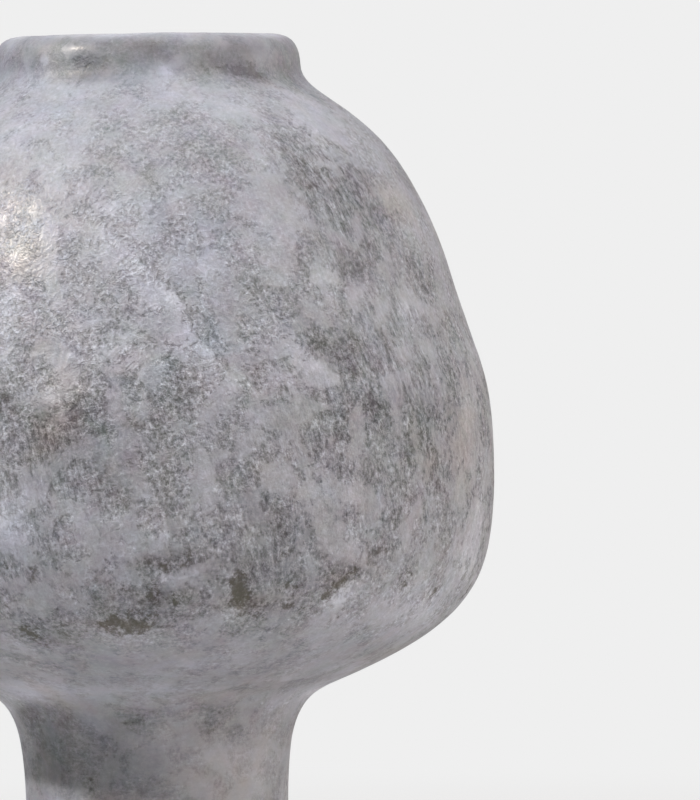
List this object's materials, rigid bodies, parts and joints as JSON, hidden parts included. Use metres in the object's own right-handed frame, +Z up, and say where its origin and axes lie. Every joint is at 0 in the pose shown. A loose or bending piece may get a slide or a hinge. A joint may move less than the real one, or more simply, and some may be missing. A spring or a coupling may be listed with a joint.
{
  "type": "footed globe vase",
  "caption": "Hollow footed globe vase with a thick rolled collar, a full rounded body and a narrow drum pedestal.",
  "frame": {"origin": "middle of the base, on the surface the vase stands on", "axes": "+Z up along the vase's axis of turning, out of the mouth; the vase is round, so +X and +Y are free and lie through the middles of the felt pads"},
  "size_m": [0.254, 0.254, 0.32],
  "materials": {
    "fired_clay": "matte",
    "bond_mortar": "matte",
    "skim_coat": "satin",
    "felt": "matte"
  },
  "bodies": {
    "root": {"pedestal_foot": "fired_clay", "belly_bowl": "fired_clay", "shoulder_dome": "fired_clay", "rim_collar": "fired_clay", "base_disc": "fired_clay", "base_bond_ring": "bond_mortar", "neck_bond_ring": "bond_mortar", "belly_bond_ring": "bond_mortar", "collar_bond_ring": "bond_mortar", "skim_coat": "skim_coat", "felt_pad_1": "felt", "felt_pad_2": "felt", "felt_pad_3": "felt", "felt_pad_4": "felt"}
  },
  "joints": []
}
